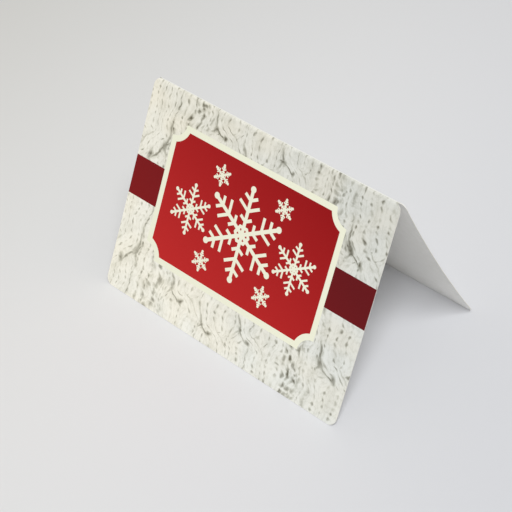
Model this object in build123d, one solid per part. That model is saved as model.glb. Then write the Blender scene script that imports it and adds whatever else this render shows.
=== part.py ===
from build123d import *
import math
import os

# A greeting card that stands open like a tent.
# It is one sheet of coated card: scored across the middle, folded once, and its corners rounded
# together while it was shut, so that each end of the fold carries a small scooped notch.
# The fold runs along X, the printed panel faces -Y, and the card stands on its two lower edges at Z = 0.

# Driving sizes, in millimetres and degrees
card_width = 177.8  # along the fold
panel_height = 127.0  # along the sheet, from the crown of the fold to the foot
sheet_thickness = 0.36
corner_radius = 5.0
fold_inner_radius = 1.2  # a heavy coated sheet never folds quite sharp
bead_height = 0.12  # the ridge that scoring presses up inside the fold
bead_width = 0.8
opening_angle = 48.5  # between the panels where they leave the fold
front_bow = 0.55  # how far each panel sags in, at half its height
back_bow = 2.1

# Sizes that follow from them
half_opening = math.radians(opening_angle / 2)
fold_outer_radius = fold_inner_radius + sheet_thickness
fold_middle_radius = fold_inner_radius + sheet_thickness / 2
fold_quarter_turn = math.pi / 2 - half_opening  # from the crown of the fold to where a panel starts
panel_length = panel_height - fold_middle_radius * fold_quarter_turn

FRONT = -1
BACK = 1


def panel_face(side, bow, depth):
    """One panel seen along the fold, at a depth of the sheet counted from its inner face.

    It is an arc that leaves the fold in line with it and flares outwards to the foot. Faces at every
    depth share one centre, outside the tent, so the sheet keeps its thickness.
    """
    middle_radius = panel_length**2 / (8 * bow)
    swing = math.degrees(panel_length / middle_radius)
    fold_radius = fold_inner_radius + depth
    start = (side * fold_radius * math.cos(half_opening), fold_radius * math.sin(half_opening))
    downwards = (side * math.sin(half_opening), -math.cos(half_opening))
    return JernArc(start, downwards, middle_radius + sheet_thickness / 2 - depth, side * swing)


def fold_point(radius, angle):
    """A point on the fold's round at an angle from its crown, positive towards the back."""
    return (radius * math.sin(angle), radius * math.cos(angle))


def fold_outer_face():
    """The rolled outside of the fold, a plain arc from panel to panel."""
    turn = fold_quarter_turn
    return [ThreePointArc(*[fold_point(fold_outer_radius, angle) for angle in (-turn, 0, turn)])]


def fold_inner_face():
    """The inside of the fold: the same bend, with the scored bead standing up along its middle."""
    turn = fold_quarter_turn
    bead_turn = bead_width / 2 / fold_inner_radius
    side_turn = (turn + bead_turn) / 2
    front_ends = (-turn, -side_turn, -bead_turn)
    back_ends = (bead_turn, side_turn, turn)
    bead_top = (0, fold_inner_radius - bead_height)
    front_side = ThreePointArc(*[fold_point(fold_inner_radius, angle) for angle in front_ends])
    back_side = ThreePointArc(*[fold_point(fold_inner_radius, angle) for angle in back_ends])
    bead = ThreePointArc(front_side @ 1, bead_top, back_side @ 0)
    return [front_side, bead, back_side]


def sheet_profile():
    """The folded sheet seen along the fold: two faces one thickness apart, closed by the cut feet."""
    outer = [panel_face(FRONT, front_bow, sheet_thickness), panel_face(BACK, back_bow, sheet_thickness)]
    inner = [panel_face(FRONT, front_bow, 0), panel_face(BACK, back_bow, 0)]
    feet = [Line(outside @ 1, inside @ 1) for outside, inside in zip(outer, inner)]
    return make_face(outer + fold_outer_face() + inner + fold_inner_face() + feet)


def round_the_feet(sheet):
    """Rounds the four free corners, across the thickness of the sheet."""
    feet = sheet.faces().sort_by(Axis.Z)[:2]
    corners = [edge for foot in feet for edge in foot.edges().sort_by(SortBy.LENGTH)[:2]]
    return fillet(corners, corner_radius)


def fold_corner_waste():
    """What the corner punch takes off the front panel at one end of the fold.

    A square less its quarter circle, pushed through square to the panel, up to the middle of the fold.
    """
    crown = (0, *fold_point(fold_outer_radius, 0))
    outwards = (0, -math.cos(half_opening), math.sin(half_opening))
    panel_plane = Plane(origin=crown, x_dir=(1, 0, 0), z_dir=outwards)
    circle_centre = Pos(card_width / 2 - corner_radius, -corner_radius)
    waste = circle_centre * Rectangle(2 * corner_radius, 2 * corner_radius, align=Align.MIN)
    waste -= circle_centre * Circle(corner_radius)
    through = extrude(panel_plane * waste, amount=2 * fold_outer_radius, both=True)
    return split(through, bisect_by=Plane.XZ, keep=Keep.TOP)


def notch_the_fold(sheet):
    """Rounds both panels at both ends of the fold, alike, as they were cut while the card was shut."""
    front = fold_corner_waste()
    right = front + mirror(front, about=Plane.XZ)
    return sheet - right - mirror(right, about=Plane.YZ)


def stand_up(card):
    """Turns the card until both feet are level, and puts the middle of its footprint at the origin."""
    front_foot = panel_face(FRONT, front_bow, 0) @ 1
    back_foot = panel_face(BACK, back_bow, 0) @ 1
    rise = back_foot - front_foot
    level = Rot(X=-math.degrees(math.atan2(rise.Y, rise.X))) * card
    box = level.bounding_box()
    return Pos(-box.center().X, -box.center().Y, -box.min.Z) * level


def greeting_card():
    sheet = extrude(Plane.YZ * sheet_profile(), amount=card_width / 2, both=True)
    return stand_up(notch_the_fold(round_the_feet(sheet)))


os.makedirs("parts", exist_ok=True)
export_step(greeting_card(), "parts/card.step")
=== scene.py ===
import math
from functools import partial
from typing import NamedTuple

import bpy
import numpy as np
from bpy.props import FloatProperty, FloatVectorProperty, PointerProperty
from bpy.types import NodeSocket, Operator, Panel, PropertyGroup
from mathutils import Matrix, Vector


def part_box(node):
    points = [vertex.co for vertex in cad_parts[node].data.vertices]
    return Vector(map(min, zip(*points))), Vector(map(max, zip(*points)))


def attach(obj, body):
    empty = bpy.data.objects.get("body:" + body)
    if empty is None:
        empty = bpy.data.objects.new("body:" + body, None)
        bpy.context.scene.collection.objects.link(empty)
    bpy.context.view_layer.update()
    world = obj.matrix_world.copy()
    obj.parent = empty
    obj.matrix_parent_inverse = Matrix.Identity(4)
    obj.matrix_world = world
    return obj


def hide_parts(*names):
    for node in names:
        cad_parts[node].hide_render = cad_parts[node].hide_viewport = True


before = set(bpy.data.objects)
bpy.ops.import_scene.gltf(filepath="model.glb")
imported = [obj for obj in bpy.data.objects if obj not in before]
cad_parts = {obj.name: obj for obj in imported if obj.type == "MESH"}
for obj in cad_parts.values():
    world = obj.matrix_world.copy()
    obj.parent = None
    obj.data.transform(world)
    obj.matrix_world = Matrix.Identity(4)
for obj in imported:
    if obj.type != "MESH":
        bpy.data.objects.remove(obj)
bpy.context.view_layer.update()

bl_info = {
    "name": "Folded greeting card",
    "version": (1, 0, 0),
    "blender": (4, 5, 0),
    "location": "3D View > Sidebar > Card",
    "description": "A printed greeting card that stands open on its two lower edges",
    "category": "Object",
}

MM = 0.001
CARD_NODE = "card"

# Materials of the sheet's faces, in the order in which its mesh gets them
PRINTED, PLAIN, INSIDE, EDGE = range(4)
# Where the flat map holds the inside and the cut edge, in metres to the right of the outside
INSIDE_ON_MAP = 0.2
EDGE_ON_MAP = 0.4
SHARP_BEND = math.radians(50)  # the cut edges bend more than this, and the fold's facets less
FLOOR_RADIUS = 4.0


def colour(code):
    """An sRGB hex value as the linear red, green and blue that Blender works in."""
    parts = [int(code[i : i + 2], 16) / 255 for i in (1, 3, 5)]
    return tuple(c / 12.92 if c <= 0.04045 else ((c + 0.055) / 1.055) ** 2.4 for c in parts)


def length(name, description, millimetres):
    """A length that shows in the sidebar, with its default given in millimetres."""
    return FloatProperty(
        name=name, description=description, default=millimetres * MM, unit="LENGTH", precision=5
    )


def tint(name, description, code):
    """A colour that shows in the sidebar, with its default given as a hex value."""
    return FloatVectorProperty(
        name=name, description=description, default=colour(code), subtype="COLOR", min=0, max=1
    )


def angle(name, description, degrees):
    """An angle that shows in the sidebar, with its default given in degrees."""
    return FloatProperty(
        name=name, description=description, default=math.radians(degrees), subtype="ANGLE"
    )


def power(name, description, watts):
    """A lamp's power that shows in the sidebar."""
    return FloatProperty(name=name, description=description, default=watts, min=0, unit="POWER")


class CardSizes(PropertyGroup):
    """The folded sheet. Its width comes from the frame."""

    panel_height: length("Panel height", "Along the sheet, from the crown of the fold to a foot", 127)
    thickness: length("Thickness", "Thickness of the sheet", 0.36)
    corner_radius: length("Corner radius", "Radius that rounds the corners and notches the fold", 5)
    fold_radius: length("Fold radius", "Radius inside the fold", 1.2)
    bead_height: length("Bead height", "Height of the ridge that scoring leaves inside the fold", 0.12)
    bead_width: length("Bead width", "Width of that ridge", 0.8)
    front_bow: length("Front bow", "How far the printed panel sags in at half its height", 0.55)
    back_bow: length("Back bow", "How far the back panel sags in at half its height", 2.1)
    opening: angle("Opening", "Angle between the panels where they leave the fold", 48.5)


class CardPrint(PropertyGroup):
    """What is printed on the front panel, measured from its left edge and down from the fold."""

    plaque_middle: length("Plaque middle", "From the left edge to the middle of the plaque", 86.05)
    plaque_drop: length("Plaque drop", "From the fold to the middle of the plaque", 58.15)
    plaque_width: length("Plaque width", "Width of the red field", 120.7)
    plaque_height: length("Plaque height", "Height of the red field", 75.1)
    scoop_radius: length("Scoop radius", "Radius of the scoop at each corner of the red field", 12.45)
    scoop_offset: length("Scoop offset", "How far outside the corner the scoop is centred", 3.7)
    border: length("Border", "Width of the pale border round the plaque", 3.5)
    ribbon_drop: length("Ribbon drop", "From the fold to the middle of the ribbon", 58.35)
    ribbon_width: length("Ribbon width", "Width of the ribbon", 23.3)
    plaque_light: tint("Plaque, light", "Red at the foot of the plaque", "#C02727")
    plaque_dark: tint("Plaque, dark", "Red at its head", "#930E13")
    ribbon_light: tint("Ribbon, light", "Ribbon at the left", "#7F1518")
    ribbon_dark: tint("Ribbon, dark", "Ribbon at the right", "#661218")
    cream: tint("Cream", "Border and ornament", "#F0F0DB")
    yarn_light: tint("Yarn, light", "The top of a stitch", "#F3F2ED")
    yarn_shade: tint("Yarn, shade", "Between two stitches", "#D4D3CA")
    yarn_deep: tint("Yarn, deep", "The holes and folds of the knitting", "#706C5E")


class StageSettings(PropertyGroup):
    """Floor, light and camera."""

    # The floor's two colours hold painted light: warmer light at its left, cooler light at its right
    floor_left: tint("Floor, left", "Colour of the floor at the left of the card", "#E3E2E0")
    floor_right: tint("Floor, right", "Colour of the floor at its right, a little cooler", "#DEDFE5")
    sky: FloatProperty(name="Sky", description="Strength of the light all round", default=0.46, min=0)
    sky_colour: tint("Sky colour", "Colour of that light", "#FFFDF7")
    window: power("Window", "Power of the lower lamp", 35.2)
    window_azimuth: angle("Window azimuth", "Where it hangs, turned from straight in front", 45)
    window_elevation: angle("Window elevation", "How high it hangs", 52)
    ceiling: power("Ceiling", "Power of the upper lamp", 34.8)
    ceiling_azimuth: angle("Ceiling azimuth", "Where it hangs, turned from straight in front", 65)
    ceiling_elevation: angle("Ceiling elevation", "How high it hangs", 65)
    lamp_distance: length("Lamp distance", "From the lamps to the card", 3200)
    lamp_width: length("Lamp width", "Diameter of each lamp", 1000)
    lamp_colour: tint("Lamp colour", "Colour of both lamps, as daylight is a little cool", "#FCFEFF")
    aim: FloatVectorProperty(
        name="Aim",
        description="The point that the camera looks at",
        default=(-0.000789, -0.019187, 0.042947),
        subtype="TRANSLATION",
        precision=5,
    )
    azimuth: angle("Azimuth", "Where the camera stands, turned from straight in front", 47.732)
    elevation: angle("Elevation", "How far the camera looks down", 40.942)
    roll: angle("Roll", "How far the camera leans to its side", -5.352)
    distance: length("Distance", "From the camera to its aim", 908.15)
    lens: FloatProperty(name="Lens", description="Focal length in millimetres", default=117.36)


# Made of one folded sheet: where its points lie


def sheet_section(reach, depth, card):
    """Where points of the sheet lie, seen along the fold: two arrays, towards the back and upwards.

    reach runs along the middle of the sheet from the crown of the fold, negative down the front panel
    and positive down the back. depth is counted outwards from the inner face. Up to the end of the
    fold's quarter turn, a point lies on a circle about the middle of the fold, at the angle reach
    divided by the middle radius. Past it, each panel is an arc that leaves the fold in line with it and
    flares outwards: its centre is outside the tent and its radius is the panel's length squared, divided
    by eight times the bow.
    """
    half = card.opening / 2
    middle_radius = card.fold_radius + card.thickness / 2
    quarter_turn = math.pi / 2 - half
    panel = card.panel_height - middle_radius * quarter_turn
    side = np.where(reach < 0, -1, 1)
    turn = np.clip(reach / middle_radius, -quarter_turn, quarter_turn)
    fold_radius = card.fold_radius + depth
    on_fold = fold_radius * np.sin(turn), fold_radius * np.cos(turn)

    past = np.maximum(np.abs(reach) - middle_radius * quarter_turn, 0)
    arc_radius = panel**2 / (8 * np.where(reach < 0, card.front_bow, card.back_bow))
    swing = past / arc_radius
    outwards = side * math.cos(half), math.sin(half)
    downwards = side * math.sin(half), -math.cos(half)
    ray = arc_radius + card.thickness / 2 - depth
    on_panel = [
        out * (middle_radius + arc_radius - ray * np.cos(swing)) + down * ray * np.sin(swing)
        for out, down in zip(outwards, downwards)
    ]
    return [np.where(past > 0, far, near) for far, near in zip(on_panel, on_fold)]


def stand_up(away, up, card):
    """Turns the section until both feet are level, and stands it on them about the origin."""
    feet = np.array([-card.panel_height, card.panel_height])
    foot_away, foot_up = sheet_section(feet, np.zeros(2), card)
    tilt = -math.atan2(foot_up[1] - foot_up[0], foot_away[1] - foot_away[0])

    def level(y, z):
        return y * math.cos(tilt) - z * math.sin(tilt), y * math.sin(tilt) + z * math.cos(tilt)

    floor = level(foot_away, foot_up)[1].min()
    outer_feet = sheet_section(feet, np.full(2, card.thickness), card)
    middle = level(*outer_feet)[0].mean()
    level_away, level_up = level(away, up)
    return level_away - middle, level_up - floor


def sheet_rows(card):
    """Distances from the fold at which the sheet is cut into rows, from foot to foot.

    They crowd where the outline turns: at the fold as radius times one less a cosine, and at a foot
    as the same thing turned round. Between the two they are even.
    """
    turn = np.linspace(0, math.pi / 2, 25)
    curl = card.corner_radius * (1 - np.cos(turn))
    plain = np.linspace(card.corner_radius, card.panel_height - card.corner_radius, 42)[1:-1]
    one_side = np.concatenate([curl, plain, card.panel_height - curl[::-1]])
    return np.concatenate([-one_side[:0:-1], one_side])


def half_width(reach, width, card):
    """Half the sheet's width at a distance from the fold.

    The corners were rounded while the card was shut, so the outline is a quarter circle at each foot
    and again at the fold: half the width, less the radius, plus the root of the radius squared less
    the square of how far a point is inside the corner.
    """
    down = np.abs(reach)
    nearest_end = np.minimum(down, card.panel_height - down)
    inside = np.clip(card.corner_radius - nearest_end, 0, card.corner_radius)
    return width / 2 - card.corner_radius + np.sqrt(card.corner_radius**2 - inside**2)


def bead_rise(reach, card):
    """How far the scored ridge stands in from the inner face: a low parabola along the fold."""
    half_bead = card.bead_width / 2 * (card.fold_radius + card.thickness / 2) / card.fold_radius
    return card.bead_height * np.maximum(1 - (reach / half_bead) ** 2, 0)


def quads(grid):
    """The four corners of every cell in a grid of vertex numbers, in turning order."""
    corners = grid[:-1, :-1], grid[:-1, 1:], grid[1:, 1:], grid[1:, :-1]
    return np.stack(corners, axis=-1).reshape(-1, 4)


def sheet_mesh(name, card, width, columns=49):
    """The folded sheet as one closed skin: outer face, inner face and the cut edge between them.

    Each face is a grid: rows run from foot to foot, and columns share out the width of each row. The
    map holds the flat sheet in metres: outside at the left, inside beside it, and the cut edge apart.
    """
    rows = sheet_rows(card)
    reach = np.repeat(rows[:, None], columns, axis=1)
    across = half_width(rows, width, card)[:, None] * np.linspace(-1, 1, columns)
    inner_depth = np.broadcast_to(-bead_rise(rows, card)[:, None], reach.shape)
    faces_of_sheet = []
    for depth in (np.full(reach.shape, card.thickness), inner_depth):
        away, up = stand_up(*sheet_section(reach, depth, card), card)
        faces_of_sheet.append(np.stack([across, away, up], axis=-1).reshape(-1, 3))
    points = np.concatenate(faces_of_sheet)

    outer = np.arange(reach.size).reshape(reach.shape)
    inner = outer + reach.size
    strips = [
        np.stack([inner[:, 0], outer[:, 0]], axis=1),
        np.stack([outer[:, -1], inner[:, -1]], axis=1),
        np.stack([inner[0], outer[0]]),
        np.stack([outer[-1], inner[-1]]),
    ]
    blocks = [quads(outer), quads(inner)[:, ::-1]] + [quads(strip) for strip in strips]
    corners = np.concatenate(blocks)

    flat = np.stack([across + width / 2, reach + card.panel_height], axis=-1).reshape(-1, 2)
    places = np.concatenate([flat, flat + [INSIDE_ON_MAP, 0]])
    map_points = places[corners]
    edge_start = len(blocks[0]) + len(blocks[1])
    is_inner = corners[edge_start:] >= reach.size
    map_points[edge_start:] = flat[corners[edge_start:] % reach.size] + [EDGE_ON_MAP, 0]
    map_points[edge_start:, :, 0] += np.where(is_inner, card.thickness, 0)

    mesh = bpy.data.meshes.new(name)
    mesh.from_pydata(points, [], corners)
    layer = mesh.uv_layers.new(name="flat_sheet")
    layer.data.foreach_set("uv", map_points.astype(np.float32).ravel())
    middle_reach = reach.ravel()[corners[: len(blocks[0])]].mean(axis=1)
    stock = np.full(len(corners), EDGE)
    stock[: len(blocks[0])] = np.where(middle_reach < 0, PRINTED, PLAIN)
    stock[len(blocks[0]) : edge_start] = INSIDE
    mesh.polygons.foreach_set("material_index", stock)
    mesh.polygons.foreach_set("use_smooth", np.ones(len(corners), dtype=bool))
    mesh.set_sharp_from_angle(angle=SHARP_BEND)
    mesh.validate()
    mesh.update()
    return mesh


# Small tools for materials


def add_node(tree, kind, *inputs, **settings):
    """Adds one node. Its settings come first, then its open sockets are fed in order with values or
    with other nodes' outputs, or by name from a dict. Gives back its first open output."""
    made = tree.nodes.new("ShaderNode" + kind)
    for name, value in settings.items():
        setattr(made, name, value)
    if inputs and isinstance(inputs[0], dict):
        pairs = [(made.inputs[name], value) for name, value in inputs[0].items()]
    else:
        pairs = zip([socket for socket in made.inputs if socket.enabled], inputs)
    for socket, value in pairs:
        if isinstance(value, NodeSocket):
            tree.links.new(value, socket)
        elif value is not None:
            socket.default_value = value
    return next((socket for socket in made.outputs if socket.enabled), None)


def new_material(name):
    """An empty material, its node tree and a shorthand that adds nodes to it."""
    material = bpy.data.materials.new(name)
    material.use_nodes = True
    material.node_tree.nodes.clear()
    return material, partial(add_node, material.node_tree)


def opaque(rgb):
    """A colour as a colour socket takes it."""
    return (*rgb, 1.0)


def new_group(name, vectors, numbers, results):
    """An empty node group with these sockets. Gives back its tree, a shorthand that adds nodes to it and
    what it is given, by name."""
    tree = bpy.data.node_groups.new(name, "ShaderNodeTree")
    for kind, way, names in (
        ("NodeSocketVector", "INPUT", vectors),
        ("NodeSocketFloat", "INPUT", numbers),
        ("NodeSocketFloat", "OUTPUT", results),
    ):
        for each in names:
            tree.interface.new_socket(each, in_out=way, socket_type=kind)
    return tree, partial(add_node, tree), tree.nodes.new("NodeGroupInput").outputs


def give_back(tree, *values):
    """Feeds a node group's results in order, and gives back the finished group."""
    result = tree.nodes.new("NodeGroupOutput")
    for socket, value in zip(result.inputs, values):
        tree.links.new(value, socket)
    return tree


def grain(add, place, scale, detail, roughness, span, result, **settings):
    """Noise with so many features to a millimetre. The span of its values is spread over the result's."""
    noise = add("TexNoise", place, scale, detail, roughness, noise_dimensions="2D")
    return add("MapRange", noise, *span, *result, **settings)


def shaken(add, spot, place, scale, detail, reach):
    """A spot moved by noise over the place, at most half the reach either way."""
    noise = add("TexNoise", place, scale, detail, noise_dimensions="2D").node.outputs["Color"]
    either_way = add("VectorMath", noise, (0.5, 0.5, 0.5), operation="SUBTRACT")
    return add("VectorMath", either_way, (reach, reach, 0), spot, operation="MULTIPLY_ADD")


def on_sheet(add, start=(0, 0, 0), scale=(1 / MM, 1 / MM, 1)):
    """The place on the flat sheet, in millimetres."""
    return add("Mapping", add("UVMap", uv_map="flat_sheet"), start, None, scale)


SOFT = {"interpolation_type": "SMOOTHSTEP"}
SPREAD = (0.3, 0.7)  # between these two lie nearly all values of a noise


# The knitted pattern, in millimetres from the panel's left edge and down from the fold.
# It is a traditional sweater front: cables, ribs and two columns of moss stitch.

COURSE = 3.9  # height of one stitch
WALE = 5.6  # width of one stitch outside the cables
FLARE = 0.0006  # how much wider the knitting gets with each millimetre down
FLARE_MIDDLE = 86.0  # from where it gets wider both ways
PANEL_WIDTH = 178.0
RIB_LINES = (22.6, 28.0, 33.4, 46.8, 123.6, 143.2, 149.4)
MOSS_COLUMNS = (37.4, 136.6)
MOSS_HALF_WIDTH = 6.6
KNOT_WIDTH = 3.8  # of a knot in moss stitch
KNOT_HEIGHT = 4.6


class Cable(NamedTuple):
    """One cable: two strands side by side that cross again and again, always the same way."""

    middle: float
    strand: float  # width of one strand
    stitches: int  # across one strand
    repeat: float  # from crossing to crossing
    crossing: float  # from the fold down to the first one
    lean: int  # 1 where the upper strand runs down to the right, -1 where it runs down to the left
    height: float  # of a crossing
    first: float  # number of its first wale


CABLES = (
    Cable(9.5, 13.0, 3, 65.0, 38.0, -1, 26.0, 0.0),
    Cable(60.0, 11.2, 2, 32.6, 11.5, 1, 12.0, 4.0),
    Cable(84.0, 11.6, 2, 32.6, 20.0, 1, 12.0, 8.0),
    Cable(108.8, 11.2, 2, 32.6, 12.0, 1, 11.0, 12.0),
    Cable(164.2, 13.6, 2, 64.4, 36.5, 1, 17.0, 16.5),
)
# Both ends of a crossing, where its deepest holes are: strands across from the side that the upper
# strand leaves, and the part of the crossing that is above
CROSSING_ENDS = ((0.24, 0.36, 0), (0.88, 0.7, 0))


def edge_crease(add, over, width, lean, slant):
    """The dark line along the upper strand's edges, with a soft shade on the strand below it.

    over counts strands across from the upper strand's middle. The line is stronger along that strand's
    lower side, and fades where the strand hangs straight.
    """
    past_edge = add("Math", over, operation="ABSOLUTE")
    past_edge = add("Math", past_edge, 0.5, operation="SUBTRACT")
    past_edge = add("Math", past_edge, width, operation="MULTIPLY")
    off_edge = add("Math", past_edge, operation="ABSOLUTE")
    line = add("MapRange", off_edge, 0, 1.5, 1, 0, **SOFT)
    shade = add("MapRange", past_edge, 0, 5, 0.3, 0, **SOFT)
    below = add("Math", past_edge, 0, operation="GREATER_THAN")
    shade = add("Math", shade, below, operation="MULTIPLY")
    edge = add("Math", line, shade, operation="MAXIMUM")
    ahead = add("Math", over, lean, operation="MULTIPLY")
    lower_side = add("MapRange", ahead, -0.1, 0.1, 0.85, 0.35)
    edge = add("Math", edge, lower_side, operation="MULTIPLY")
    aslant = add("MapRange", slant, 0.1, 0.7, 0, 1, **SOFT)
    return add("Math", edge, aslant, operation="MULTIPLY")


def side_crease(add, from_side, part, strand):
    """The crease down the side that the upper strand leaves, which bends outwards at the crossing.

    from_side counts strands across from that side, and part grows from 0 to 1 down the crossing. The
    crease follows the lesser of two straight lines, one that leads in and one that leads out.
    """
    inwards = add("Math", part, 0.4, 0.12, operation="MULTIPLY_ADD")
    outwards = add("Math", part, -0.7, 0.505, operation="MULTIPLY_ADD")
    path = add("Math", inwards, outwards, operation="MINIMUM")
    off_path = add("Math", from_side, path, operation="SUBTRACT")
    off_path = add("Math", off_path, operation="ABSOLUTE")
    off_path = add("Math", off_path, strand, operation="MULTIPLY")
    crease = add("MapRange", off_path, 0, 1.5, 0.75, 0, **SOFT)
    has_begun = add("MapRange", part, -0.6, 0.05, 0, 1, **SOFT)
    goes_on = add("MapRange", part, 0.4, 0.9, 1, 0, **SOFT)
    crease = add("Math", crease, has_begun, operation="MULTIPLY")
    return add("Math", crease, goes_on, operation="MULTIPLY")


def cable_group():
    """The look of one cable.

    The upper strand's middle swings from one side of the cable to the other as a smooth step of the
    distance down the crossing, and the other strand's swings back under it. Both spread a little where
    they lie aslant. The group gives the place's wale, whether it is on the cable, how far it has turned
    towards a strand's side, and how deep it lies in the creases of the crossing.
    """
    results = ("Wale", "Inside", "Round", "Crease")
    tree, add, given = new_group("knitted cable", ["Place"], Cable._fields, results)
    spot = add("SeparateXYZ", given["Place"]).node.outputs
    off_middle = add("Math", spot["X"], given["middle"], operation="SUBTRACT")
    drop = add("Math", spot["Y"], given["crossing"], operation="SUBTRACT")
    half_repeat = add("Math", given["repeat"], 0.5, operation="MULTIPLY")
    minus_half = add("Math", given["repeat"], -0.5, operation="MULTIPLY")
    from_crossing = add("Math", drop, half_repeat, minus_half, operation="WRAP")
    begun = add("Math", given["height"], 0.5, from_crossing, operation="MULTIPLY_ADD")
    swing = add("MapRange", begun, 0, given["height"], -1, 1, **SOFT)
    swing_squared = add("Math", swing, swing, operation="MULTIPLY")
    slant = add("Math", 1, swing_squared, operation="SUBTRACT")
    spread = add("Math", slant, 0.15, 1, operation="MULTIPLY_ADD")
    width = add("Math", spread, given["strand"], operation="MULTIPLY")
    half_strand = add("Math", given["strand"], 0.5, operation="MULTIPLY")
    leaning = add("Math", half_strand, given["lean"], operation="MULTIPLY")
    shift = add("Math", swing, leaning, operation="MULTIPLY")

    on_strand = []
    for way in ("SUBTRACT", "ADD"):
        off_strand = add("Math", off_middle, shift, operation=way)
        across = add("Math", off_strand, width, operation="DIVIDE")
        distance = add("Math", across, operation="ABSOLUTE")
        on_strand.append((across, distance, add("Math", distance, 0.5, operation="LESS_THAN")))
    (over, over_distance, on_over), (under, under_distance, on_under) = on_strand
    inside = add("Math", on_over, on_under, operation="MAXIMUM")
    across = add("Mix", on_over, under, over)
    stitches = add("Math", across, 0.5, operation="ADD")
    wale = add("Math", stitches, given["stitches"], given["first"], operation="MULTIPLY_ADD")

    # A strand turns away from the eye towards its sides, and stands in a shallow ditch
    nearest = add("Math", over_distance, under_distance, operation="MINIMUM")
    outside = add("Math", nearest, 0.5, operation="SUBTRACT")
    turned = add("MapRange", outside, -0.4, 0, 0, 1, **SOFT)
    ditch = add("MapRange", outside, 0, 0.3, 1, 0, **SOFT)
    rounded = add("Math", turned, ditch, operation="MINIMUM")

    leaving = add("Math", off_middle, given["lean"], given["strand"], operation="MULTIPLY_ADD")
    from_side = add("Math", leaving, given["strand"], operation="DIVIDE")
    part = add("Math", begun, given["height"], operation="DIVIDE")
    edge = edge_crease(add, over, width, given["lean"], slant)
    side = side_crease(add, from_side, part, given["strand"])
    crease = add("Math", edge, side, operation="MAXIMUM")
    here = add("CombineXYZ", from_side, part)
    for end in CROSSING_ENDS:
        off_end = add("VectorMath", here, end, operation="DISTANCE")
        hole = add("MapRange", off_end, 0, 0.23, 1, 0, **SOFT)
        crease = add("Math", crease, hole, operation="MAXIMUM")
    return give_back(tree, wale, inside, rounded, crease)


def lay_cables(add, place, across):
    """Lays the cables over plain knitting, and gives what the cable's group gives, for all of them."""
    group = cable_group()
    wale = inside = rounded = crease = 0.0
    for numbers in CABLES:
        cable = add("Group", place, *numbers, node_tree=group).node.outputs
        wale = add("Math", cable["Wale"], cable["Inside"], wale, operation="MULTIPLY_ADD")
        inside = add("Math", cable["Inside"], inside, operation="ADD")
        rounded = add("Math", cable["Round"], rounded, operation="MAXIMUM")
        crease = add("Math", cable["Crease"], crease, operation="MAXIMUM")
    off_cable = add("Math", 1, inside, operation="SUBTRACT")
    plain_place = add("Math", across, RIB_LINES[1], operation="SUBTRACT")
    plain_wale = add("Math", plain_place, 1 / WALE, operation="MULTIPLY")
    wale = add("Math", plain_wale, off_cable, wale, operation="MULTIPLY_ADD")
    return wale, inside, rounded, crease


def stitch_legs(add, wale, to_seam, down):
    """Each stitch is a V with two plump legs, as a course drops towards the middle of its wale."""
    vee = add("Math", to_seam, -1.1, operation="MULTIPLY")
    course = add("Math", down, 1 / COURSE, vee, operation="MULTIPLY_ADD")
    to_next = add("Math", course, 0.5, operation="PINGPONG")
    in_leg = add("Math", wale, 0.25, operation="PINGPONG")
    beside = add("MapRange", in_leg, 0, 0.17, 0.05, 0, **SOFT)
    between = add("MapRange", to_next, 0, 0.24, 0.06, 0, **SOFT)
    return add("Math", beside, between, operation="ADD")


def seam_holes(add, depth, wale, which_wale, to_seam, down, on_cable):
    """On the seam between two wales a hole sits once a course: a slanted ellipse, each wale's at a
    height of its own, and each hole deeper or shallower."""
    stagger = add("TexWhiteNoise", which_wale, noise_dimensions="1D")
    off_seam = add("Math", wale, which_wale, operation="SUBTRACT")
    slanted = add("Math", off_seam, -0.5, stagger, operation="MULTIPLY_ADD")
    course = add("Math", down, 1 / COURSE, slanted, operation="MULTIPLY_ADD")
    to_hole = add("Math", course, 0.5, operation="PINGPONG")
    which_course = add("Math", course, operation="ROUND")
    cell = add("CombineXYZ", which_wale, which_course)
    chance = add("TexWhiteNoise", cell, noise_dimensions="2D")
    aside = add("Math", to_seam, 1 / 0.19, operation="MULTIPLY")
    beyond = add("Math", to_hole, 1 / 0.42, operation="MULTIPLY")
    off_hole = add("VectorMath", add("CombineXYZ", aside, beyond), operation="LENGTH")
    hole = add("MapRange", off_hole, 0.1, 1, 1, 0, **SOFT)
    strength = add("MapRange", chance, 0, 0.9, 0.12, 0.62, **SOFT)
    hole = add("Math", hole, strength, operation="MULTIPLY")
    fainter = add("MapRange", on_cable, 0, 1, 0.85, 1)
    return add("Math", hole, fainter, depth, operation="MULTIPLY_ADD")


def seam_streaks(add, depth, which_wale, to_seam, down):
    """The seams themselves are thin dark lines that come and go."""
    on_seam = add("CombineXYZ", which_wale, down)
    on_seam = add("VectorMath", on_seam, (3.7, 0.3, 0), operation="MULTIPLY")
    streak = grain(add, on_seam, 1.0, 2.0, 0.5, (0.45, 0.68), (0, 0.14), **SOFT)
    seam = add("MapRange", to_seam, 0, 0.11, 1, 0, **SOFT)
    return add("Math", seam, streak, depth, operation="MULTIPLY_ADD")


def nearest_line(add, across, lines):
    """Distance across to the nearest of some upright lines."""
    nearest = 1000.0
    for line in lines:
        off_line = add("Math", across, line, operation="SUBTRACT")
        off_line = add("Math", off_line, operation="ABSOLUTE")
        nearest = add("Math", off_line, nearest, operation="MINIMUM")
    return nearest


def rib_channels(add, depth, place, across):
    """Ribs part in shallow channels with rows of long holes."""
    off_rib = nearest_line(add, across, RIB_LINES)
    channel = add("MapRange", off_rib, 0, 4, 0.03, 0, **SOFT)
    depth = add("Math", depth, channel, operation="ADD")
    rib = add("MapRange", off_rib, 0, 1.5, 1, 0, **SOFT)
    stretched = add("VectorMath", place, (0.21, 0.3, 1.0), operation="MULTIPLY")
    dashes = grain(add, stretched, 1.0, 1.0, 0.5, (0.45, 0.66), (0, 0.4), **SOFT)
    return add("Math", rib, dashes, depth, operation="MULTIPLY_ADD")


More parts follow.
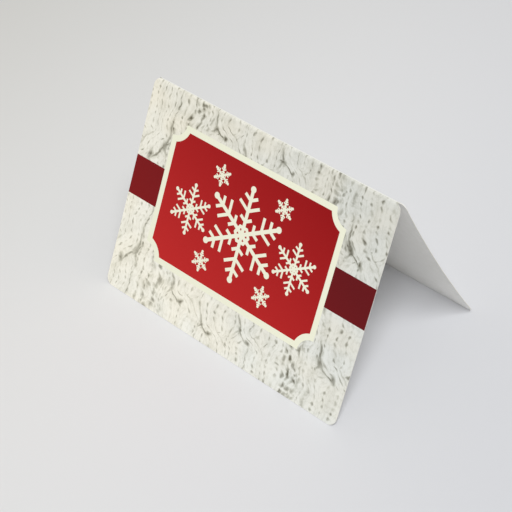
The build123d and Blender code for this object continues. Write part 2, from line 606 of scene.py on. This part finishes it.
def moss_stitch(add, depth, place, across):
    """Moss stitch is scattered knots with ragged holes between them."""
    off_moss = nearest_line(add, across, MOSS_COLUMNS)
    moss = add("MapRange", off_moss, MOSS_HALF_WIDTH - 2, MOSS_HALF_WIDTH, 1, 0, **SOFT)
    ragged = shaken(add, place, place, 0.45, 1.0, 1.5)
    ragged = add("VectorMath", ragged, (1 / KNOT_WIDTH, 1 / KNOT_HEIGHT, 1), operation="MULTIPLY")
    knots = add("TexVoronoi", ragged, 1.0, 0, None, None, 0.6, voronoi_dimensions="2D").node
    hole = add("MapRange", knots.outputs["Distance"], 0.04, 0.6, 0.9, 0, **SOFT)
    chance = add("SeparateColor", knots.outputs["Color"])
    chance = add("MapRange", chance, 0.1, 0.8, 0.1, 0.95)
    hole = add("Math", hole, chance, operation="MULTIPLY")
    return add("Math", moss, hole, depth, operation="MULTIPLY_ADD")


def knit_depth(add, place):
    """How deep a place of the knitted pattern lies, from 0 on top of a stitch to 1 in a hole."""
    spot = add("SeparateXYZ", place).node.outputs
    across, down = spot["X"], spot["Y"]
    wale, on_cable, rounded, crease = lay_cables(add, place, across)
    to_seam = add("Math", wale, 0.5, operation="PINGPONG")
    which_wale = add("Math", wale, operation="ROUND")
    depth = stitch_legs(add, wale, to_seam, down)
    depth = add("Math", rounded, 0.07, depth, operation="MULTIPLY_ADD")
    depth = seam_holes(add, depth, wale, which_wale, to_seam, down, on_cable)
    depth = seam_streaks(add, depth, which_wale, to_seam, down)
    depth = rib_channels(add, depth, place, across)
    depth = moss_stitch(add, depth, place, across)

    # A crease is deeper and shallower along its way
    uneven = grain(add, place, 0.3, 1.0, 0.5, (0.35, 0.6), (0.75, 1.1), **SOFT)
    crease = add("Math", crease, uneven, operation="MULTIPLY")
    return add("Math", depth, crease, operation="MAXIMUM")


def hand_made(add, place):
    """The place moved as hand knitting wanders, and wider towards the foot of the panel."""
    moved = shaken(add, place, place, 0.09, 0.0, 5)
    moved = shaken(add, moved, place, 0.45, 0.0, 0.9)
    down = add("SeparateXYZ", place).node.outputs["Y"]
    narrower = add("Math", down, -FLARE, 1, operation="MULTIPLY_ADD")
    narrower = add("CombineXYZ", narrower, 1)
    middle = (FLARE_MIDDLE, 0, 0)
    off_middle = add("VectorMath", moved, middle, operation="SUBTRACT")
    return add("VectorMath", off_middle, narrower, middle, operation="MULTIPLY_ADD")


def knit_colour(add, place, ink):
    """The knitted pattern's colour: pale wool with grey-olive holes and creases.

    It is warmer towards its left. Painted light makes it flatter and lighter towards its lower left, and
    deeper and darker towards its upper right.
    """
    moved = hand_made(add, place)
    depth = knit_depth(add, moved)
    # Painted light: the knitting's shading is weaker towards the lower left and stronger towards the
    # upper right
    painted_light_depth_scale = add("VectorMath", place, (0.001, -0.00127, 0), operation="DOT_PRODUCT")
    painted_light_depth_scale = add("Math", painted_light_depth_scale, 0.91, operation="ADD")
    depth = add("Math", depth, painted_light_depth_scale, operation="MULTIPLY")

    along_strands = add("VectorMath", moved, (1.1, 0.3, 1), operation="MULTIPLY")
    fluff = grain(add, place, 1.3, 4.0, 0.7, SPREAD, (-0.045, 0.045))
    strands = grain(add, along_strands, 1.0, 2.0, 0.5, SPREAD, (-0.05, 0.07))
    cloud = grain(add, place, 0.13, 2.0, 0.5, SPREAD, (-0.05, 0.06))
    for uneven in (fluff, strands, cloud):
        depth = add("Math", depth, uneven, operation="ADD")
    wool = add("ValToRGB", depth)
    stops = wool.node.color_ramp.elements
    stops[0].color = opaque(ink.yarn_light)
    stops[1].color = opaque(ink.yarn_deep)
    stops.new(0.3).color = opaque(ink.yarn_shade)

    across = add("SeparateXYZ", place)
    warmth = add("MapRange", across, 0, PANEL_WIDTH, 0.7, 0)
    patch = grain(add, place, 0.04, 1.0, 0.5, (0.35, 0.65), (0, 0.4))
    warmth = add("Math", warmth, patch, operation="ADD")
    cast = add("Mix", warmth, opaque(colour("#F8FBFC")), opaque(colour("#FFFBF1")), data_type="RGBA")
    warm_wool = add("Mix", 1.0, wool, cast, data_type="RGBA", blend_type="MULTIPLY")
    # Painted light: the colour is lighter towards the lower left and darker towards the upper right
    painted_light_fade = add("VectorMath", place, (-0.00103, 0.0011, 0), operation="DOT_PRODUCT")
    painted_light_fade = add("MapRange", painted_light_fade, -0.16, 0.07, 0.83, 1.06)
    return add("Mix", 1.0, warm_wool, painted_light_fade, data_type="RGBA", blend_type="MULTIPLY")


# Parts of a snow crystal, as shares of its radius: where its branches start and how long they are, a
# ring of six straight sides round its middle, and the round tip of each arm
BRANCHES = ((0.28, 0.17), (0.50, 0.30), (0.72, 0.19))
RING = 0.15
TIP = 0.95


def flake_group():
    """A six-armed snow crystal, 1 inside it and 0 outside.

    The place is folded into one twelfth of a turn: its angle is wrapped to within 30 degrees of an arm
    and made positive. There the arm is a thin band along the first axis, and each pair of branches is
    a band that leaves it at 60 degrees, shorter than its own distance from the middle.
    """
    vectors = ("Place", "Middle")
    tree, add, given = new_group("snow crystal", vectors, ("Radius", "Line"), ["Inside"])
    off_middle = add("VectorMath", given["Place"], given["Middle"], operation="SUBTRACT")
    scale = add("Math", 1, given["Radius"], operation="DIVIDE")
    unit = add("VectorMath", off_middle, scale, operation="SCALE")
    spot = add("SeparateXYZ", unit).node.outputs
    distance = add("VectorMath", unit, operation="LENGTH")
    turn = add("Math", spot["X"], spot["Y"], operation="ARCTAN2")
    turn = add("Math", turn, math.pi / 6, -math.pi / 6, operation="WRAP")
    turn = add("Math", turn, operation="ABSOLUTE")
    along = add("Math", add("Math", turn, operation="COSINE"), distance, operation="MULTIPLY")
    aside = add("Math", add("Math", turn, operation="SINE"), distance, operation="MULTIPLY")
    folded = add("CombineXYZ", along, aside)

    half_line = add("Math", given["Line"], scale, operation="MULTIPLY")
    half_line = add("Math", half_line, 0.5, operation="MULTIPLY")
    fine_half_line = add("Math", half_line, 0.85, operation="MULTIPLY")
    thin = add("Math", aside, half_line, operation="LESS_THAN")
    short = add("Math", along, 0.93, operation="LESS_THAN")
    inside = add("Math", thin, short, operation="MULTIPLY")
    for start, reach in BRANCHES:
        from_start = add("VectorMath", folded, (start, 0, 0), operation="SUBTRACT")
        beside = add("VectorMath", from_start, (0.866, -0.5, 0), operation="DOT_PRODUCT")
        beside = add("Math", beside, operation="ABSOLUTE")
        thin = add("Math", beside, fine_half_line, operation="LESS_THAN")
        out = add("VectorMath", from_start, (0.5, 0.866, 0), operation="DOT_PRODUCT")
        short = add("Math", out, reach, operation="LESS_THAN")
        begun = add("Math", out, 0, operation="GREATER_THAN")
        branch = add("Math", thin, short, operation="MULTIPLY")
        branch = add("Math", branch, begun, operation="MULTIPLY")
        inside = add("Math", inside, branch, operation="MAXIMUM")
    ring = add("Math", along, RING, operation="SUBTRACT")
    ring = add("Math", ring, operation="ABSOLUTE")
    ring = add("Math", ring, fine_half_line, operation="LESS_THAN")
    inside = add("Math", inside, ring, operation="MAXIMUM")
    tip = add("VectorMath", folded, (TIP, 0, 0), operation="DISTANCE")
    tip = add("Math", tip, add("Math", half_line, 1.7, operation="MULTIPLY"), operation="LESS_THAN")
    inside = add("Math", inside, tip, operation="MAXIMUM")
    return give_back(tree, inside)


# Snow crystals on the plaque: place across and down from the plaque's middle, radius and width of line
FLAKES = (
    (0, 0, 28, 2.2),
    (-39, 2, 15, 1.3),
    (39, 2, 15, 1.3),
    (-23, -25, 6, 0.9),
    (23, -25, 6, 0.9),
    (-23, 26, 6, 0.9),
    (23, 26, 6, 0.9),
)


def shaded(add, off_middle, slope, light, dark):
    """Goes from light to dark along a slope, given as the change with each millimetre across and down."""
    share = add("VectorMath", off_middle, slope, operation="DOT_PRODUCT")
    share = add("Math", share, 0.5, operation="ADD")
    return add("Mix", share, opaque(light), opaque(dark), data_type="RGBA")


def add_label(add, place, below, ink):
    """Lays the ribbon, the plaque's border, the plaque and its ornament over the pattern below.

    The plaque is a rectangle with its four corners scooped: a place lies as far outside it as the
    greatest of three distances, past its sides, past its top or bottom, and into the scoop's circle.
    The border is all that lies less than its width outside.
    """
    middle = (ink.plaque_middle / MM, ink.plaque_drop / MM, 0)
    half_size = (ink.plaque_width / 2 / MM, ink.plaque_height / 2 / MM, 0)
    off_middle = add("VectorMath", place, middle, operation="SUBTRACT")
    folded = add("VectorMath", off_middle, operation="ABSOLUTE")
    past = add("VectorMath", folded, half_size, operation="SUBTRACT")
    past_side = add("SeparateXYZ", past).node.outputs
    outside = add("Math", past_side["X"], past_side["Y"], operation="MAXIMUM")
    offset = ink.scoop_offset / MM
    from_scoop = add("VectorMath", past, (offset, offset, 0), operation="DISTANCE")
    in_scoop = add("Math", ink.scoop_radius / MM, from_scoop, operation="SUBTRACT")
    outside = add("Math", outside, in_scoop, operation="MAXIMUM")
    on_plaque = add("Math", outside, 0, operation="LESS_THAN")
    on_border = add("Math", outside, ink.border / MM, operation="LESS_THAN")

    down = add("SeparateXYZ", place).node.outputs["Y"]
    off_ribbon = add("Math", down, ink.ribbon_drop / MM, operation="SUBTRACT")
    off_ribbon = add("Math", off_ribbon, operation="ABSOLUTE")
    on_ribbon = add("Math", off_ribbon, ink.ribbon_width / 2 / MM, operation="LESS_THAN")
    ribbon = shaded(add, off_middle, (0.0058, -0.009, 0), ink.ribbon_light, ink.ribbon_dark)
    plaque = shaded(add, off_middle, (0.0032, -0.0081, 0), ink.plaque_light, ink.plaque_dark)
    group = flake_group()
    ornament = 0.0
    for flake_across, flake_down, radius, line in FLAKES:
        middle = (flake_across, flake_down, 0)
        flake = add("Group", off_middle, middle, radius, line, node_tree=group)
        ornament = add("Math", ornament, flake, operation="MAXIMUM")

    printed = add("Mix", on_ribbon, below, ribbon, data_type="RGBA")
    printed = add("Mix", on_border, printed, opaque(ink.cream), data_type="RGBA")
    printed = add("Mix", on_plaque, printed, plaque, data_type="RGBA")
    shown = add("Math", ornament, on_plaque, operation="MULTIPLY")
    return add("Mix", shown, printed, opaque(ink.cream), data_type="RGBA")


def satin_film(add, place, surface, roughness, specular):
    """The coat over the outside of the board, faintly dimpled and a little rougher in places."""
    finish = add("TexNoise", place, 2.2, 2.0, noise_dimensions="2D")
    dimples = add("Bump", {"Strength": 0.04, "Distance": 0.00005, "Height": finish})
    shader = add("BsdfPrincipled", {
        "Base Color": surface,
        "Roughness": add("MapRange", finish, *SPREAD, *roughness),
        "IOR": 1.5,
        "Specular IOR Level": specular,
        "Normal": dimples,
    })
    add("OutputMaterial", shader)


def bare_pulp(add, surface, roughness, relief):
    """Paper pulp with no coat, matt and with a fine relief."""
    shader = add("BsdfPrincipled", {
        "Base Color": surface,
        "Roughness": roughness,
        "IOR": 1.45,
        "Normal": add("Bump", relief),
    })
    add("OutputMaterial", shader)


def printed_coated_card(card, ink):
    """Offset-printed, satin-coated card board.

    The eye sees flat ink under a thin, even film: colours stay clear, the sheen is weak, broad and
    soft, and the film has cracked a little along the fold, where the white board shows faintly.
    """
    material, add = new_material("satin coated board, printed")
    place = on_sheet(add, (0, card.panel_height / MM, 0), (1 / MM, -1 / MM, 1))
    printed = add_label(add, place, knit_colour(add, place, ink), ink)
    down = add("SeparateXYZ", place).node.outputs["Y"]
    near_fold = add("MapRange", down, 0.25, 1.1, 1, 0, **SOFT)
    crack = grain(add, place, 1.1, 3.0, 0.7, (0.42, 0.6), (0, 0.3))
    worn = add("Math", near_fold, crack, operation="MULTIPLY")
    surface = add("Mix", worn, printed, opaque(colour("#EFEEE9")), data_type="RGBA")
    satin_film(add, place, surface, (0.40, 0.46), 0.1)
    return material


def plain_coated_card():
    """The same board where nothing is printed: a bright white satin film over faintly cloudy paper."""
    material, add = new_material("satin coated board, plain")
    place = on_sheet(add)
    cloud = grain(add, place, 0.12, 4.0, 0.6, SPREAD, (0, 1))
    white = add("Mix", cloud, opaque(colour("#F0F0EC")), opaque(colour("#F3F3F0")), data_type="RGBA")
    satin_film(add, place, white, (0.42, 0.48), 0.5)
    return material


def bare_inside():
    """Uncoated inside of the board: calendered pulp, matt, with a faint cloudiness and short fibres."""
    material, add = new_material("uncoated board, smooth")
    place = on_sheet(add)
    cloud = grain(add, place, 0.25, 5.0, 0.6, SPREAD, (0, 1))
    pulp = add("Mix", cloud, opaque(colour("#F2F1ED")), opaque(colour("#F6F5F2")), data_type="RGBA")
    # Pulp fibres are about 0.03 mm thick, so they are drawn ten times coarser to show at all
    fibres = add("TexNoise", place, 3.0, 4.0, 0.65, noise_dimensions="2D")
    bare_pulp(add, pulp, 0.85, {"Strength": 0.12, "Distance": 0.00008, "Height": fibres})
    return material


def cut_edge():
    """The sheared edge: torn pulp between the coats, chalky and a little rough."""
    material, add = new_material("sheared board edge")
    place = add("TexCoord").node.outputs["Object"]
    # Torn tufts of pulp, about 0.25 mm apart
    tufts = add("TexNoise", place, 1 / (0.25 * MM), 3.0, 0.6)
    cloud = add("MapRange", tufts, *SPREAD, 0, 1)
    pulp = add("Mix", cloud, opaque(colour("#DEDBD2")), opaque(colour("#F1EFE9")), data_type="RGBA")
    bare_pulp(add, pulp, 0.9, {"Strength": 0.3, "Distance": 0.00004, "Height": tufts})
    return material


def pale_table(stage):
    """Matt painted board that the card stands on.

    Its colour holds painted light: it is lightest behind the card's left end, darkens outwards over a
    long oval of the size given as the room's light falls off, and is cooler towards the right, where
    cooler light is painted.
    """
    material, add = new_material("matt painted board")
    place = add("TexCoord").node.outputs["Object"]
    middle = (-0.088, 0.049, 0)
    turn = (0, 0, 0.207)
    size = (0.454, 0.926, 1)
    oval = add("Mapping", place, middle, turn, size, vector_type="TEXTURE")
    from_oval = add("VectorMath", oval, operation="LENGTH")
    # Painted light: the floor darkens outwards from the oval as the room's light falls off
    painted_light_falloff = add("MapRange", from_oval, 0, 1, 1, 0.8, **SOFT)
    to_right = add("VectorMath", place, (0.91, 0.42, 0), operation="DOT_PRODUCT")
    to_right = add("MapRange", to_right, -0.3, 0.2, 0, 1)
    # The two floor colours hold painted light: a warmer light at the left, a cooler light at the right
    paint_and_light = add("Mix", to_right, opaque(stage.floor_left), opaque(stage.floor_right), data_type="RGBA")
    paint_and_light = add("Mix", 1.0, paint_and_light, painted_light_falloff, data_type="RGBA", blend_type="MULTIPLY")
    shader = add("BsdfPrincipled", {"Base Color": paint_and_light, "Roughness": 0.8, "IOR": 1.45})
    add("OutputMaterial", shader)
    return material


def towards(azimuth, elevation):
    """The direction that is turned by azimuth from straight in front and raised by elevation."""
    level = math.cos(elevation)
    return Vector((math.sin(azimuth) * level, -math.cos(azimuth) * level, math.sin(elevation)))


def collect(item):
    """Puts an object in the scene."""
    bpy.context.scene.collection.objects.link(item)
    return item


class OBJECT_OT_fold_card(Operator):
    """Folds the printed sheet and stands it on its two lower edges"""

    bl_idname = "object.fold_card"
    bl_label = "Fold the card"

    def execute(self, context):
        card = context.scene.card_sizes
        low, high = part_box(CARD_NODE)
        mesh = sheet_mesh("printed_card", card, high[0] - low[0])
        for material in (
            printed_coated_card(card, context.scene.card_print),
            plain_coated_card(),
            bare_inside(),
            cut_edge(),
        ):
            mesh.materials.append(material)
        piece = collect(bpy.data.objects.new("printed_card", mesh))
        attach(piece, "root")
        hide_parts(CARD_NODE)
        return {"FINISHED"}


class OBJECT_OT_set_card_stage(Operator):
    """Lays the floor, hangs the lamps and places the camera"""

    bl_idname = "object.set_card_stage"
    bl_label = "Set the stage"

    def execute(self, context):
        stage = context.scene.card_stage
        self.lay_floor(stage)
        self.hang_lamps(context, stage)
        self.place_camera(context, stage)
        context.scene.view_settings.view_transform = "Standard"
        return {"FINISHED"}

    def lay_floor(self, stage):
        """A round floor with the card in its middle."""
        ring = np.linspace(0, 2 * math.pi, 65)[:-1]
        points = FLOOR_RADIUS * np.stack([np.cos(ring), np.sin(ring), 0 * ring], axis=1)
        mesh = bpy.data.meshes.new("floor")
        mesh.from_pydata(points, [], [list(range(len(ring)))])
        mesh.materials.append(pale_table(stage))
        collect(bpy.data.objects.new("floor", mesh))

    def hang_lamps(self, context, stage):
        """Lights the card from all round, and hangs two lamps that face it."""
        world = bpy.data.worlds.new("soft room light")
        world.use_nodes = True
        sky = world.node_tree.nodes["Background"]
        sky.inputs["Color"].default_value = opaque(stage.sky_colour)
        sky.inputs["Strength"].default_value = stage.sky
        context.scene.world = world
        for name, power, azimuth, elevation in (
            ("window", stage.window, stage.window_azimuth, stage.window_elevation),
            ("ceiling", stage.ceiling, stage.ceiling_azimuth, stage.ceiling_elevation),
        ):
            lamp = bpy.data.lights.new(name, "AREA")
            lamp.shape = "DISK"
            lamp.size = stage.lamp_width
            lamp.energy = power
            lamp.color = stage.lamp_colour
            hung = collect(bpy.data.objects.new(name, lamp))
            hung.location = towards(azimuth, elevation) * stage.lamp_distance
            hung.rotation_euler = (-hung.location).to_track_quat("-Z", "Y").to_euler()

    def place_camera(self, context, stage):
        """Stands the camera on a sphere about its aim, then leans it to its side."""
        data = bpy.data.cameras.new("camera")
        data.lens = stage.lens
        data.sensor_width = 36
        camera = collect(bpy.data.objects.new("camera", data))
        back = towards(stage.azimuth, stage.elevation)
        right = Vector((math.cos(stage.azimuth), math.sin(stage.azimuth), 0))
        upright = Matrix((right, back.cross(right), back)).transposed().to_4x4()
        stand = Matrix.Translation(Vector(stage.aim) + back * stage.distance)
        camera.matrix_world = stand @ upright @ Matrix.Rotation(stage.roll, 4, "Z")
        context.scene.camera = camera


class VIEW3D_PT_greeting_card(Panel):
    """Lists the card's making in order"""

    bl_label = "Greeting card"
    bl_space_type = "VIEW_3D"
    bl_region_type = "UI"
    bl_category = "Card"

    def draw(self, context):
        for group in (context.scene.card_sizes, context.scene.card_print, context.scene.card_stage):
            box = self.layout.box()
            for name in group.__annotations__:
                box.prop(group, name)
        for operator in OPERATORS:
            self.layout.operator(operator.bl_idname)


SETTINGS = {"card_sizes": CardSizes, "card_print": CardPrint, "card_stage": StageSettings}
OPERATORS = (OBJECT_OT_set_card_stage, OBJECT_OT_fold_card)


def register():
    for each in (*SETTINGS.values(), *OPERATORS, VIEW3D_PT_greeting_card):
        bpy.utils.register_class(each)
    for name, group in SETTINGS.items():
        setattr(bpy.types.Scene, name, PointerProperty(type=group))


def unregister():
    for name in SETTINGS:
        delattr(bpy.types.Scene, name)
    for each in (VIEW3D_PT_greeting_card, *OPERATORS, *SETTINGS.values()):
        bpy.utils.unregister_class(each)


def main():
    register()
    bpy.ops.object.set_card_stage()
    bpy.ops.object.fold_card()


if __name__ == "__main__":
    main()
